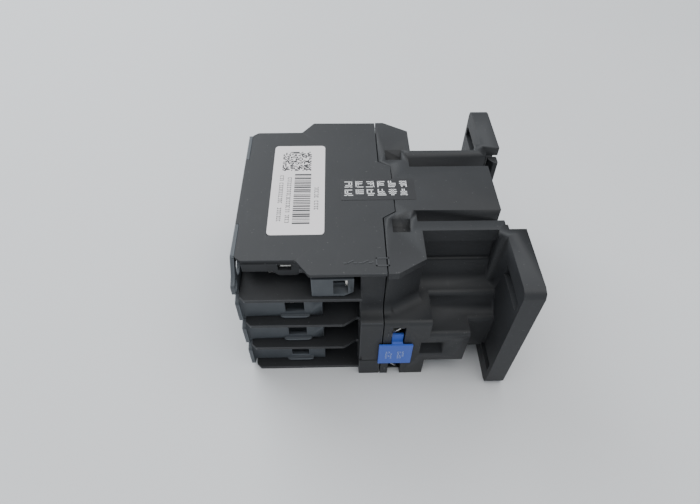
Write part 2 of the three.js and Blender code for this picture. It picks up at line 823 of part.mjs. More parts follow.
// Two cheeks on the crosshead that hold the armature's pin.
function armatureHooks() {
  return [-1, 1].map((side) => block(
    [armatureBack - 1, armatureBack + 4.4],
    [-3, 3],
    [magnetMiddle + side * (stackHalf + gap), magnetMiddle + side * (stackHalf + 2)],
  ));
}

const pinX = armatureBack + 2.2;

const pinHole = (diameter, middle = magnetMiddle) => (
  bar('z', [pinX, 0], diameter / 2, middle - stackHalf - 4, middle + stackHalf + 4, 14)
);

// Moving bridge of a pole, with a contact tip at each end.
function mainBridge() {
  const plate = block([bridgeFront, bridgeTipFront], about(0, 12), about(0, bridgeHalf));
  const tips = [-1, 1].map((side) => block(
    [bridgeTipFront - 0.2, bridgeTipFront + tipHeight],
    about(side * tipReach, 2),
    about(0, bridgeHalf - 0.6),
  ));
  return join(plate, ...tips);
}

// Auxiliary bridge: its tips face +X on the normally open one and -X on the normally closed one.
function auxBridge(from, facing) {
  const plate = block([from, from + auxBridgePlate], about(0, 11), about(0, auxBridgeHalf));
  const root = facing > 0 ? from + auxBridgePlate : from;
  const tips = [-1, 1].map((side) => bar(
    'x', [side * auxTipReach, 0], 1.5, root - facing * 0.2, root + facing * auxTipHeight, 12,
  ));
  return join(plate, ...tips);
}

// Fixed contact and terminal of a pole on the near end, in one strip.
function mainTerminal() {
  const x = [strapFront, strapFront + strapThickness];
  const strip = block(x, [-screwAxis - 4, -6.4], about(0, strapHalf));
  const tip = block([tipFront, strapFront + 0.2], about(-tipReach, 2), about(0, 3));
  return cut(join(strip, tip), bar('x', [-screwAxis, 0], 2.2, strapFront - 1, strapFront + 4));
}

function frontAuxTerminal() {
  const end = auxStrapFront + auxStrapThickness;
  const strip = block([auxStrapFront, end], [-27.6, -6.8], about(0, auxStrapHalf));
  const tip = bar('x', [-auxTipReach, 0], 1.5, auxStrapFront - auxTipHeight, auxStrapFront + 0.2, 12);
  return cut(join(strip, tip), bar('x', [-auxScrewAxis, 0], 1.6, auxStrapFront - 1, end + 1, 14));
}

// The rear auxiliary strip steps forward from its terminal to its contact.
function rearAuxTerminal() {
  const span = about(0, 2);
  const outerEnd = rearAuxStrap + auxStrapThickness;
  const innerEnd = rearAuxInner + auxStrapThickness;
  return cut(
    join(
      block([rearAuxStrap, outerEnd], [-32.2, -22.4], span),
      block([rearAuxInner, outerEnd], [-23.4, -22.4], span),
      block([rearAuxInner, innerEnd], [-23.4, -6.8], span),
      bar('x', [-auxTipReach, 0], 1.5, innerEnd - 0.2, ncTip, 12),
    ),
    bar('x', [-rearAuxScrewAxis, 0], 1.4, rearAuxStrap - 1, outerEnd + 1, 12),
  );
}

// Screw along +X from its head, with a bent clamping plate behind the head where it has one.
function clampScrew({ headRadius, headHeight, threadRadius, length, plate }) {
  const solids = [
    bar('x', [0, 0], headRadius, 0, headHeight + 0.1),
    bar('x', [0, 0], threadRadius, headHeight, length, 10),
  ];
  if (plate) {
    const low = headHeight - 0.2;
    const tip = low + plate.bend;
    solids.push(prism('y', [
      [0, low], [plate.half, tip], [plate.half, tip + plate.thickness],
      [0, low + plate.thickness], [-plate.half, tip + plate.thickness], [-plate.half, tip],
    ], -plate.half, plate.half));
  }
  const slotHalf = headRadius * 0.62;
  const recess = [-1, headHeight * 0.55];
  const long = about(0, slotHalf);
  const narrow = about(0, 0.5);
  return cut(join(...solids), block(recess, long, narrow), block(recess, narrow, long));
}

const mainScrew = {
  headRadius: 3.5, headHeight: 2.6, threadRadius: 1.9, length: 12.9,
  plate: { half: 3.1, bend: 1.8, thickness: 1.2 },
};
const auxScrew = {
  headRadius: 2.8, headHeight: 2.2, threadRadius: 1.3, length: 10.6,
  plate: { half: 2.4, bend: 1, thickness: 0.9 },
};
const rearAuxScrew = {
  headRadius: 1.6, headHeight: 1.6, threadRadius: 1.1, length: 9.1,
  plate: { half: 2, bend: 1, thickness: 0.8 },
};
const coilScrewSize = {
  headRadius: 2, headHeight: 1.8, threadRadius: 1.1, length: 7.6,
  plate: { half: 2.5, bend: 2.2, thickness: 0.8 },
};
const shellScrew = { headRadius: 2.8, headHeight: 2, threadRadius: 1.5, length: 14.9 };

// ---------------------------------------------------------------- coil and magnet, about Z = 0

// E-shaped core: a yoke with three legs that end at a face.
function eCore(yokeFrom, yokeTo, face) {
  const stack = about(0, stackHalf);
  const root = face < yokeFrom ? yokeFrom + 0.5 : yokeTo - 0.5;
  const outerLeg = coreHalf - legWidth / 2;
  return join(
    block([yokeFrom, yokeTo], about(0, coreHalf), stack),
    block([root, face], about(-outerLeg, legWidth / 2), stack),
    block([root, face], about(0, middleLegHalf), stack),
    block([root, face], about(outerLeg, legWidth / 2), stack),
  );
}

const ringGroove = { inner: 16.9, outer: 18.5, depth: 1.8 };

function fixedCore() {
  const grooves = Object.values(sides).map((side) => block(
    [coreFace - 1, coreFace + ringGroove.depth],
    [side * ringGroove.inner, side * ringGroove.outer],
    about(0, stackHalf + 3),
  ));
  return cut(eCore(yokeBack - yokeDepth, yokeBack, coreFace), ...grooves);
}

// Shading ring in the pole face of the near outer leg.
function shadingRing() {
  const x = [coreFace + 0.1, coreFace + ringGroove.depth - gap];
  return cut(
    block(x, [-coreHalf - 1, -ringGroove.inner - gap], about(0, stackHalf + 1.3)),
    block([x[0] - 1, x[1] + 1], [-coreHalf - gap, -ringGroove.outer + gap], about(0, stackHalf + gap)),
  );
}

function armature() {
  return cut(eCore(armatureBack, armatureBack + armatureYoke, armatureFace), pinHole(2.7, 0));
}

const bore = { y: middleLegHalf + gap, z: stackHalf + gap, wall: 1 };

function bobbin() {
  const ends = [[coilFront, coilFront + 1.2], [coilEnd - 1.2, coilEnd]].map(
    (x) => block(x, about(0, 14.6), about(0, coilReach + 1.3)),
  );
  const tube = block([coilFront, coilEnd], about(0, bore.y + bore.wall), about(0, bore.z + bore.wall));
  return cut(join(...ends, tube), block([coilFront - 1, coilEnd + 1], about(0, bore.y), about(0, bore.z)));
}

function winding() {
  const from = coilFront + 1.2 + gap;
  const to = coilEnd - 1.2 - gap;
  const inner = bore.wall + gap;
  return cut(
    prism('x', [
      [-13.4, -coilReach, 2], [13.4, -coilReach, 2], [13.4, coilReach, 2], [-13.4, coilReach, 2],
    ], from, to),
    block([from - 1, to + 1], about(0, bore.y + inner), about(0, bore.z + inner)),
  );
}

// ---------------------------------------------------------------- tag and rail clip

// Blue tag on the coil terminal block, held by a stem in the wire slot.
function voltageTag() {
  const face = -coilBlockReach - gap;
  const slot = [coilSlotFront + gap, coilSlotBack - gap];
  return join(
    block([seam - 0.9, seam + 10.2], [face, face - tagThickness], about(magnetMiddle - 6.4, 6)),
    block(slot, [face - 0.1, face + 1.6], [magnetMiddle - 9, magnetMiddle - 0.4]),
    block(slot, [face + 1.2, face + 2], [magnetMiddle - 0.6, magnetMiddle + 3.4]),
  );
}

// Sliding clip about Z = 0: a sprung nose that grips the rail, with an eye for a screwdriver.
function railClip() {
  const x = [clipFront, clipBack];
  const through = [clipFront - 1, clipBack + 1];
  const noseTip = 16;
  const bodyEnd = flangeEnd - 3.65;
  return cut(
    join(
      prism('z', [
        [clipFront, railChannelFar - gap], [clipFront, noseTip + 1.8], [clipFront + 1.6, noseTip],
        [clipBack, noseTip], [clipBack, railChannelFar - gap],
      ], -width / 2 + 3.6, width / 2 - 3.6),
      block(x, [railChannelFar - 1, bodyEnd], about(0, clipHalf)),
      block(x, [bodyEnd - 0.5, flangeEnd - 0.3], about(0, 5)),
    ),
    block(through, clipWindow, about(0, 4)),
    block(through, [flangeEnd - 3.4, flangeEnd - 1.8], about(0, 2.6)),
  );
}

// ---------------------------------------------------------------- assembly

function addShells() {
  add('base_housing', baseHousing(), blackPlastic);
  add('upper_housing', upperHousing(), blackPlastic);
  add('front_panel', frontPanel(), blackPlastic);
  for (const [name, side] of Object.entries(sides)) {
    add(`terminal_cover_${name}`, terminalCover(side), greyPlastic);
    add(`aux_box_${name}`, rearAuxBox(side), greyPlastic);
    const place = [coilBlockFront + 0.3, side * shellScrewPlace.y, shellScrewPlace.z];
    add(`shell_screw_${name}`, clampScrew(shellScrew), platedSteel, relay, place);
  }
}

function addStickers() {
  const sheet = ({ x, y }) => block(x, y, [width - stickerPocket + gap, width]);
  add('side_label', sheet(label), labelWhite);
  add('seal_sticker', sheet(seal), sealBlack);
  add('voltage_tag', voltageTag(), tagBlue);
}

function addMagnet() {
  const magnet = groupAt([0, 0, magnetMiddle]);
  const cushion = block([yokeBack + gap, cavityEnd - gap], about(0, 17), about(0, stackHalf - 0.5));
  const pin = bar('z', [pinX, 0], 1.05, -stackHalf - 2, stackHalf + 2, 14);
  add('fixed_core', fixedCore(), coreSteel, magnet);
  add('core_cushion', cushion, rubber, magnet);
  add('coil_bobbin', bobbin(), bobbinPlastic, magnet);
  add('coil_winding', winding(), copper, magnet);
  add('armature', armature(), coreSteel, magnet);
  add('armature_pin', pin, springSteel, magnet);
  for (const [name, end] of Object.entries(endGroups(magnet))) {
    add(`shading_ring_${name}`, shadingRing(), copper, end);
  }
  const returnSpring = { radius: 2.6, wire: 0.7, turns: 6 };
  for (const [name, z] of [['low', -returnSpringOffset], ['high', returnSpringOffset]]) {
    const wound = spring('x', returnSpring, armatureBack, coilFront - gap);
    add(`return_spring_${name}`, wound, springSteel, magnet, [0, 0, z]);
  }
}

function addPole(n) {
  const pole = groupAt([0, 0, poleMiddle(n)]);
  const number = n + 1;
  const size = { radius: 2.2, wire: 0.7, turns: 4 };
  const contactSpring = spring('x', size, windowFront + gap, bridgeFront - gap);
  add(`bridge_${number}`, mainBridge(), platedCopper, pole);
  add(`contact_spring_${number}`, contactSpring, springSteel, pole);
  for (const [name, end] of Object.entries(endGroups(pole))) {
    add(`terminal_${name}_${number}`, mainTerminal(), platedCopper, end);
    const place = [holeFront - 2.8, -screwAxis, 0];
    add(`screw_${name}_${number}`, clampScrew(mainScrew), platedSteel, end, place);
  }
}

function addAuxiliaries() {
  const column = groupAt([0, 0, auxMiddle]);
  const size = { radius: 1.3, wire: 0.5, turns: 4 };
  const noSpring = spring('x', size, auxBridgeFront - 4.7, auxBridgeFront - gap);
  const ncSpring = spring('x', size, ncBridgeFront + auxBridgePlate + gap, ncBridgeFront + 5);
  add('bridge_no', auxBridge(auxBridgeFront, 1), platedCopper, column);
  add('bridge_nc', auxBridge(ncBridgeFront, -1), platedCopper, column);
  add('aux_spring_no', noSpring, springSteel, column);
  add('aux_spring_nc', ncSpring, springSteel, column);
  for (const [name, end] of Object.entries(endGroups(column))) {
    const frontPlace = [holeFront - 4, -auxScrewAxis, 0];
    const rearPlace = [rearAuxStrap - 8.2, -rearAuxScrewAxis, 0];
    add(`aux_terminal_front_${name}`, frontAuxTerminal(), platedCopper, end);
    add(`aux_screw_front_${name}`, clampScrew(auxScrew), platedSteel, end, frontPlace);
    add(`aux_terminal_rear_${name}`, rearAuxTerminal(), platedCopper, end);
    add(`aux_screw_rear_${name}`, clampScrew(rearAuxScrew), platedSteel, end, rearPlace);
  }
}

function addCoilTerminals() {
  ['low', 'high'].forEach((name, index) => {
    const terminal = groupAt([coilSlotBack + 0.5, coilScrewY, coilScrewHeights[index]]);
    const strip = cut(block([0, 1], [-2.4, 5.6], about(0, 2.6)), bar('x', [0, 0], 1.4, -1, 2, 12));
    add(`coil_terminal_${name}`, strip, platedCopper, terminal);
    add(`coil_screw_${name}`, clampScrew(coilScrewSize), platedSteel, terminal, [-6.2, 0, 0]);
  });
}

function addRailClip() {
  const clip = groupAt([0, 0, width / 2]);
  const wound = spring('y', { radius: 1.1, wire: 0.5, turns: 6 }, clipWindow[0] + gap, clipLug[0] - gap);
  add('rail_clip', railClip(), blackPlastic, clip);
  add('rail_clip_spring', wound, springSteel, clip, [back - 2, 0, 0]);
}

addShells();
addStickers();
addMagnet();
for (let n = 0; n < poleCount; n += 1) addPole(n);
add('contact_carrier', contactCarrier(), blackPlastic);
addAuxiliaries();
addCoilTerminals();
addRailClip();

export default relay;
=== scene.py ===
"""Looks of a three-pole control relay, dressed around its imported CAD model.

Lengths are in metres, in the frame of the CAD model: X runs from the operating face to the
mounting back, Y is the height in use with the coil terminals at -Y, and Z is the width.
"""

import json
import logging
import math
import random
from collections.abc import Iterable, Sequence
from dataclasses import dataclass
from enum import Enum
from typing import Any

import bmesh
import bpy
from mathutils import Matrix, Vector
from mathutils.geometry import intersect_point_line


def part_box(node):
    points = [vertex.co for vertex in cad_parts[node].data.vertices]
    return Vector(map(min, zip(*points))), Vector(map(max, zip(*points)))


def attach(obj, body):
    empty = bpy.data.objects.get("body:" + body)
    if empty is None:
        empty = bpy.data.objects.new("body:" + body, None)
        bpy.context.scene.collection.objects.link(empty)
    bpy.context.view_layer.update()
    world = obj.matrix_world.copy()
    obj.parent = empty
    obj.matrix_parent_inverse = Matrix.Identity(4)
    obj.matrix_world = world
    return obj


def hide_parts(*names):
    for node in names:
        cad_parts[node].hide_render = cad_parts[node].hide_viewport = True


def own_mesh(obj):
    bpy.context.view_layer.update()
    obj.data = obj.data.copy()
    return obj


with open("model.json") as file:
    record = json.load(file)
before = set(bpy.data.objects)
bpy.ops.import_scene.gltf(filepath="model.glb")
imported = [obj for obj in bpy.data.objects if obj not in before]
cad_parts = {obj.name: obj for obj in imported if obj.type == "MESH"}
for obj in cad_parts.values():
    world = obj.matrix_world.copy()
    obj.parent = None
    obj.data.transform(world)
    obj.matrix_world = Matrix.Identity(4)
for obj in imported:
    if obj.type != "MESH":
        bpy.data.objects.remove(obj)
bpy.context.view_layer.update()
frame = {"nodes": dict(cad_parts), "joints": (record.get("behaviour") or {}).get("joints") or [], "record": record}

MM = 0.001
LOG = logging.getLogger("relay")

# Turns between faces, from nearly flat to folded back.
FLAT_TURN = math.radians(0.8)
ROUNDED_TURN = math.radians(24)
SHARP_TURN = math.radians(38)
WIRE_TURN = math.radians(50)
FOLD_TURN = math.radians(150)

# Vertices nearer than this are one.
WELD = 0.002 * MM
# Roundings tried on one moulding before it is left sharp.
TRIALS = 6

Colour = tuple[float, float, float]
Point = tuple[float, float]


class Body(Enum):
    """Rigid bodies of the CAD model that visible pieces ride on."""

    HOUSING = "housing"
    CARRIER = "carrier"
    RAIL_CLIP = "rail_clip"


class End(Enum):
    """The two ends of the relay, with the sign of Y on which each lies."""

    NEAR = -1
    FAR = 1


# ---------------------------------------------------------------- shader sheets


class Wire:
    """A node's output that takes part in arithmetic."""

    def __init__(self, sheet: "ShaderSheet", socket: bpy.types.NodeSocket) -> None:
        """Keeps the sheet that the socket belongs to.

        Args:
            sheet: The sheet that new nodes go on.
            socket: The output socket.
        """
        self.sheet = sheet
        self.socket = socket

    def _math(self, operation: str, first: Any, second: Any) -> "Wire":
        """Adds a Math node.

        Args:
            operation: The node's operation.
            first: The first operand, a number or a wire.
            second: The second operand, a number or a wire.

        Returns:
            The result.
        """
        return self.sheet.node("ShaderNodeMath", {"operation": operation}, {0: first, 1: second})

    def __add__(self, other: Any) -> "Wire":
        """This plus other."""
        return self._math("ADD", self, other)

    def __radd__(self, other: Any) -> "Wire":
        """Other plus this."""
        return self._math("ADD", other, self)

    def __sub__(self, other: Any) -> "Wire":
        """This less other."""
        return self._math("SUBTRACT", self, other)

    def __rsub__(self, other: Any) -> "Wire":
        """Other less this."""
        return self._math("SUBTRACT", other, self)

    def __mul__(self, other: Any) -> "Wire":
        """This times other."""
        return self._math("MULTIPLY", self, other)

    def __rmul__(self, other: Any) -> "Wire":
        """Other times this."""
        return self._math("MULTIPLY", other, self)


class ShaderSheet:
    """The node sheet of one material, with its Principled shader."""

    def __init__(self, name: str) -> None:
        """Makes the material.

        Args:
            name: The material's name.
        """
        self.material = bpy.data.materials.new(name)
        self.material.use_nodes = True
        self.tree = self.material.node_tree
        self.shader = self.tree.nodes["Principled BSDF"]

    def node(
        self,
        kind: str,
        settings: dict[str, Any] | None = None,
        inputs: dict[int | str, Any] | None = None,
        output: int | str = 0,
    ) -> Wire:
        """Adds a node, sets it up and fills its sockets.

        Args:
            kind: The node's type.
            settings: The node's own properties; "stops" holds a ramp's (place, colour) pairs.
            inputs: Numbers, colours or wires, by the socket's name or index.
            output: The output to return.

        Returns:
            The chosen output.
        """
        made = self.tree.nodes.new(kind)
        for name, value in (settings or {}).items():
            if name == "stops":
                self._set_stops(made, value)
            else:
                setattr(made, name, value)
        for key, value in (inputs or {}).items():
            self._fill(made.inputs[key], value)
        return Wire(self, made.outputs[output])

    @staticmethod
    def _set_stops(ramp: bpy.types.Node, stops: Sequence[Point]) -> None:
        """Sets a colour ramp's stops to grey levels.

        Args:
            ramp: The ramp node.
            stops: A (place, level) pair for each stop, from left to right.
        """
        elements = ramp.color_ramp.elements
        while len(elements) < len(stops):
            elements.new(1.0)
        for element, (place, level) in zip(elements, stops):
            element.position = place
            element.color = (level, level, level, 1)

    def _fill(self, socket: bpy.types.NodeSocket, value: Any) -> None:
        """Links a wire to a socket, or sets the socket's own value.

        Args:
            socket: The input socket.
            value: A wire, a number or a tuple.
        """
        if isinstance(value, Wire):
            self.tree.links.new(value.socket, socket)
        else:
            socket.default_value = value

    def place(self) -> Wire:
        """The point of the surface, in the object's own frame."""
        return self.node("ShaderNodeTexCoord", output="Object")

    def noise(self, size: float, detail: float = 2.0, stretch: Colour = (1, 1, 1)) -> Wire:
        """Adds smooth noise.

        Args:
            size: The width of its features.
            detail: Its finer octaves.
            stretch: A scale for each axis.

        Returns:
            A value from 0 to 1.
        """
        point = self.node("ShaderNodeMapping", None, {"Vector": self.place(), "Scale": stretch})
        sockets = {"Vector": point, "Scale": 1 / size, "Detail": detail}
        return self.node("ShaderNodeTexNoise", None, sockets)

    def ramp(self, value: Wire, *stops: Point) -> Wire:
        """A value passed through grey stops.

        Args:
            value: The value to change.
            stops: A (place, level) pair for each stop.

        Returns:
            The new value.
        """
        return self.node("ShaderNodeValToRGB", {"stops": stops}, {"Fac": value})

    def mix(self, factor: Wire, first: Any, second: Any) -> Wire:
        """Mixes two colours.

        Args:
            factor: How much of the second colour shows.
            first: The first colour, a tuple or a wire.
            second: The second colour, a tuple or a wire.

        Returns:
            The mixed colour.
        """
        colours = {0: factor, 6: opaque(first), 7: opaque(second)}
        return self.node("ShaderNodeMix", {"data_type": "RGBA"}, colours, 2)

    def bump(self, height: Wire, distance: float, strength: float) -> Wire:
        """Turns a height into a normal.

        Args:
            height: The height, from 0 to 1.
            distance: The depth of the relief.
            strength: How strongly it shows.

        Returns:
            The normal.
        """
        sockets = {"Height": height, "Distance": distance, "Strength": strength}
        return self.node("ShaderNodeBump", None, sockets)

    def finish(self, **sockets: Any) -> bpy.types.Material:
        """Fills the shader's sockets.

        Args:
            **sockets: Values or wires, by the socket's name with _ for a space.

        Returns:
            The finished material.
        """
        for name, value in sockets.items():
            words = name.replace("_", " ").title().replace("Ior", "IOR")
            self._fill(self.shader.inputs[words], value)
        return self.material


def opaque(colour: Any) -> Any:
    """A colour tuple with full alpha, or a wire as it is."""
    return colour if isinstance(colour, Wire) else (*colour, 1.0)


def scaled(colour: Colour, share: float) -> Colour:
    """A colour made lighter or darker by a share."""
    return tuple(min(1.0, channel * share) for channel in colour)


# ---------------------------------------------------------------- finishes


@dataclass(frozen=True)
class MouldedPlastic:
    """Injection-moulded plastic with a spark-eroded grain."""

    name: str
    colour: Colour
    roughness: float = 0.55
    grain: float = 0.32 * MM
    relief: float = 0.020 * MM
    mottle: float = 0.12
    dust_share: float = 0.16
    dust_grey: Colour = (0.42, 0.42, 0.42)
    grain_light: float = 1.5

    def material(self) -> bpy.types.Material:
        """Builds the material.

        Returns:
            The material.
        """
        sheet = ShaderSheet(self.name)
        cloud = sheet.noise(11 * MM, 3)
        grain = sheet.noise(self.grain, 3)
        scuffs = sheet.ramp(sheet.noise(1.4 * MM, 4, (1, 0.18, 0.6)), (0.60, 0.0), (0.72, 1.0))
        dust = sheet.ramp(sheet.noise(0.7 * MM, 1), (0.74, 0.0), (0.80, 1.0))
        low, high = (scaled(self.colour, 1 + sign * self.mottle) for sign in (-1, 1))
        tone = sheet.mix(sheet.ramp(cloud, (0.35, 0.0), (0.68, 1.0)), low, high)
        tone = sheet.mix(dust * self.dust_share, tone, self.dust_grey)
        fine = sheet.mix(grain * 0.5, tone, scaled(self.colour, self.grain_light))
        rough = cloud * 0.12 + (self.roughness - 0.06) - scuffs * 0.05 + grain * 0.08
        return sheet.finish(
            base_color=fine,
            roughness=rough,
            specular_ior_level=0.42,
            normal=sheet.bump(grain, self.relief, 0.8),
        )


@dataclass(frozen=True)
class Metal:
    """Plated, drawn or ground metal with fine scratches."""

    name: str
    colour: Colour
    roughness: float = 0.28
    scratch: Colour = (1, 8, 8)

    def material(self) -> bpy.types.Material:
        """Builds the material.

        Returns:
            The material.
        """
        sheet = ShaderSheet(self.name)
        streaks = sheet.noise(0.9 * MM, 4, self.scratch)
        stain = sheet.ramp(sheet.noise(3 * MM, 3), (0.45, 0.0), (0.75, 1.0))
        tone = sheet.mix(stain * 0.5, self.colour, scaled(self.colour, 0.62))
        return sheet.finish(
            base_color=tone,
            metallic=1.0,
            roughness=streaks * 0.22 + stain * 0.12 + (self.roughness - 0.10),
            normal=sheet.bump(streaks, 0.006 * MM, 0.6),
        )


@dataclass(frozen=True)
class Film:
    """Printed or coloured film, such as a sticker's face."""

    name: str
    colour: Colour
    roughness: float = 0.38
    wave: float = 0.03 * MM

    def material(self) -> bpy.types.Material:
        """Builds the material.

        Returns:
            The material.
        """
        sheet = ShaderSheet(self.name)
        swell = sheet.noise(9 * MM, 1)
        fibre = sheet.noise(0.35 * MM, 3)
        tone = sheet.mix(fibre * 0.35, scaled(self.colour, 0.95), scaled(self.colour, 1.04))
        tone = sheet.mix(sheet.ramp(swell, (0.3, 0.0), (0.8, 0.14)), tone, scaled(self.colour, 0.86))
        return sheet.finish(
            base_color=tone,
            roughness=fibre * 0.10 + swell * 0.10 + (self.roughness - 0.10),
            normal=sheet.bump(swell, self.wave, 0.35),
        )


@dataclass(frozen=True)
class Layered:
    """Stacked sheets or wound wire, seen as even lines along one axis."""

    name: str
    colour: Colour
    pitch: float
    direction: str
    metallic: float = 1.0
    roughness: float = 0.4

    def material(self) -> bpy.types.Material:
        """Builds the material.

        Returns:
            The material.
        """
        sheet = ShaderSheet(self.name)
        wave = {"wave_type": "BANDS", "bands_direction": self.direction}
        waves = {"Vector": sheet.place(), "Scale": 2 * math.pi / (20 * self.pitch)}
        lines = sheet.node("ShaderNodeTexWave", wave, waves, "Fac")
        grime = sheet.noise(2.2 * MM, 3)
        tone = sheet.mix(lines * 0.5 + grime * 0.2, scaled(self.colour, 0.6), self.colour)
        return sheet.finish(
            base_color=tone,
            metallic=self.metallic,
            roughness=grime * 0.25 + (self.roughness - 0.1),
            normal=sheet.bump(lines, 0.05 * MM, 0.8),
        )


@dataclass(frozen=True)
class Paper:
    """Pale matte surface that the relay stands on."""

    name: str
    colour: Colour

    def material(self) -> bpy.types.Material:
        """Builds the material.

        Returns:
            The material.
        """
        sheet = ShaderSheet(self.name)
        cloud = sheet.noise(90 * MM, 2)
        tone = sheet.mix(cloud, scaled(self.colour, 0.98), scaled(self.colour, 1.02))
        return sheet.finish(base_color=tone, roughness=cloud * 0.1 + 0.5)


class Finishes:
    """Every finish of the relay, made once."""

    def __init__(self) -> None:
        """Builds the materials."""
        black = (0.021, 0.0222, 0.0245)
        # Lighter copies of the black and grey plastic, for rounded edges and raised marks: a painted highlight.
        black_painted_highlight = scaled(black, 1.8)
        grey = (0.060, 0.068, 0.077)
        grey_painted_highlight = scaled(grey, 1.5)
        blue = (0.040, 0.105, 0.48)
        fine, finer, finest = 0.012 * MM, 0.008 * MM, 0.006 * MM
        self.black = MouldedPlastic("black_plastic", black).material()
        self.black_highlight_finish = MouldedPlastic("black_plastic_painted_highlight", black_painted_highlight, 0.42, relief=finer).material()
        self.grey = MouldedPlastic("grey_plastic", grey, 0.50, relief=fine).material()
        self.grey_highlight_finish = MouldedPlastic("grey_plastic_painted_highlight", grey_painted_highlight, 0.40, relief=finest).material()
        self.blue = MouldedPlastic("tag_blue", blue, 0.42, relief=finest, mottle=0.05).material()
        self.blue_print = Film("tag_print", (0.42, 0.50, 0.74), 0.5).material()
        self.nylon = MouldedPlastic("bobbin_plastic", (0.66, 0.62, 0.52), 0.5).material()
        self.rubber = MouldedPlastic("cushion_rubber", (0.02, 0.02, 0.02), 0.85).material()
        self.label = Film("label_film", (0.80, 0.765, 0.775), 0.36).material()
        self.ink = Film("label_ink", (0.018, 0.017, 0.020), 0.5).material()
        self.seal = Film("seal_film", (0.017, 0.0175, 0.020), 0.42).material()
        self.white_ink = Film("seal_ink", (0.74, 0.74, 0.75), 0.5).material()
        self.zinc = Metal("zinc_plate", (0.66, 0.655, 0.63)).material()
        self.silver = Metal("silver_plate", (0.76, 0.74, 0.69), 0.24).material()
        self.wire = Metal("spring_wire", (0.45, 0.45, 0.46), 0.30, (8, 1, 8)).material()
        self.copper = Metal("copper", (0.72, 0.36, 0.20), 0.30).material()
        self.laminate = Layered("core_laminations", (0.42, 0.43, 0.45), 0.5 * MM, "Z").material()
        self.winding = Layered("winding_wire", (0.46, 0.17, 0.07), 0.3 * MM, "X", 0.6, 0.35).material()


# ---------------------------------------------------------------- mesh tools


def new_object(name: str, mesh: bmesh.types.BMesh, *materials: bpy.types.Material) -> bpy.types.Object:
    """Turns a bmesh into an object of the scene.

    Args:
        name: The object's name.
        mesh: The bmesh, which is freed.
        *materials: The material slots.

    Returns:
        The object.
    """
    data = bpy.data.meshes.new(name)
    mesh.to_mesh(data)
    mesh.free()
    for material in materials:
        data.materials.append(material)
    made = bpy.data.objects.new(name, data)
    bpy.context.scene.collection.objects.link(made)
    return made


def smooth(piece: bpy.types.Object, angle: float = SHARP_TURN) -> bpy.types.Object:
    """Shades a piece smooth, with sharp edges where it turns by more than an angle.

    Args:
        piece: The object.
        angle: The angle in radians.

    Returns:
        The same object.
    """
    for face in piece.data.polygons:
        face.use_smooth = True
    piece.data.set_sharp_from_angle(angle=angle)
    normals = piece.modifiers.new("even_faces", "WEIGHTED_NORMAL")
    normals.keep_sharp = True
    return piece


def rides(piece: bpy.types.Object, body: str, slot: str, *replaced: str) -> bpy.types.Object:
    """Fixes a piece to its body and hides the solids that it stands for.

    Args:
        piece: The object.
        body: The name of the CAD body.
        slot: The record's material slot; not used.
        *replaced: The CAD nodes that it replaces.

    Returns:
        The same object.
    """
    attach(piece, body)
    if replaced:
        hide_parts(*replaced)
    LOG.info("%s rides on %s", piece.name, body)
    return piece


def is_roundable(edge: bmesh.types.BMEdge, radius: float) -> bool:
    """Whether an outer edge has room for a rounding.

    Args:
        edge: The edge.
        radius: The rounding's size.

    Returns:
        True for a convex edge between two faces that are wide enough.
    """
    if not edge.is_manifold or not edge.is_convex:
        return False
    if edge.calc_face_angle() < ROUNDED_TURN or edge.calc_length() < 2.5 * radius:
        return False
    return all(face.calc_area() / edge.calc_length() > 2.2 * radius for face in edge.link_faces)


def passes_near(edge: bmesh.types.BMEdge, points: Iterable[Vector], reach: float) -> bool:
    """Whether an edge passes near any of some points.

    Args:
        edge: The edge.
        points: The points.
        reach: How near counts.

    Returns:
        True if it does.
    """
    first, second = (vert.co for vert in edge.verts)
    for point in points:
        share = intersect_point_line(point, first, second)[1]
        if (first.lerp(second, min(1.0, max(0.0, share))) - point).length < reach:
            return True
    return False


def find_folds(mesh: bmesh.types.BMesh) -> list[Vector]:
    """Finds where a mesh folds back on itself.

    Args:
        mesh: The mesh, which is left as it is.

    Returns:
        The ends of its folded edges.
    """
    trial = mesh.copy()
    bmesh.ops.triangulate(trial, faces=trial.faces)
    folded = [edge for edge in trial.edges if edge.is_manifold and edge.calc_face_angle() > FOLD_TURN]
    ends = [vert.co.copy() for edge in folded for vert in edge.verts]
    trial.free()
    return ends


def round_edges(mesh: bmesh.types.BMesh, radius: float) -> bmesh.types.BMesh:
    """Rounds every outer edge that has room, except where the rounding would fold the mesh.

    Args:
        mesh: The sharp mesh.
        radius: The rounding.

    Returns:
        The rounded mesh, whose roundings use the second material slot, or the sharp one if
        every trial folds.
    """
    tight: list[Vector] = []
    for _ in range(TRIALS):
        trial = mesh.copy()
        chosen = [
            edge for edge in trial.edges
            if is_roundable(edge, radius) and not passes_near(edge, tight, 1.6 * radius)
        ]
        bmesh.ops.bevel(
            trial, geom=chosen, offset=radius, offset_type="OFFSET", segments=2, profile=0.5,
            affect="EDGES", clamp_overlap=False, material=1, miter_outer="ARC",
        )
        folds = find_folds(trial)
        if not folds:
            mesh.free()
            return trial
        tight += folds
        trial.free()
    return mesh


def softened(
    node: str, radius: float, face: bpy.types.Material, edge: bpy.types.Material
) -> bpy.types.Object:
    """Makes the moulded form of a CAD node, with its outer edges rounded.

    Args:
        node: The CAD node.
        radius: The rounding of its edges.
        face: The finish of its faces.
        edge: The finish of its rounded edges; the plastics use a lighter copy there, a painted highlight.

    Returns:
        The new object.
    """
    mesh = bmesh.new()
    mesh.from_mesh(frame["nodes"][node].data)
    bmesh.ops.remove_doubles(mesh, verts=mesh.verts, dist=WELD)
    bmesh.ops.dissolve_limit(mesh, angle_limit=FLAT_TURN, verts=mesh.verts, edges=mesh.edges)
    for polygon in mesh.faces:
        polygon.material_index = 0
    mesh = round_edges(mesh, radius)
    bmesh.ops.triangulate(mesh, faces=[item for item in mesh.faces if len(item.verts) > 4])
    return smooth(new_object(f"{node}_moulded", mesh, face, edge))


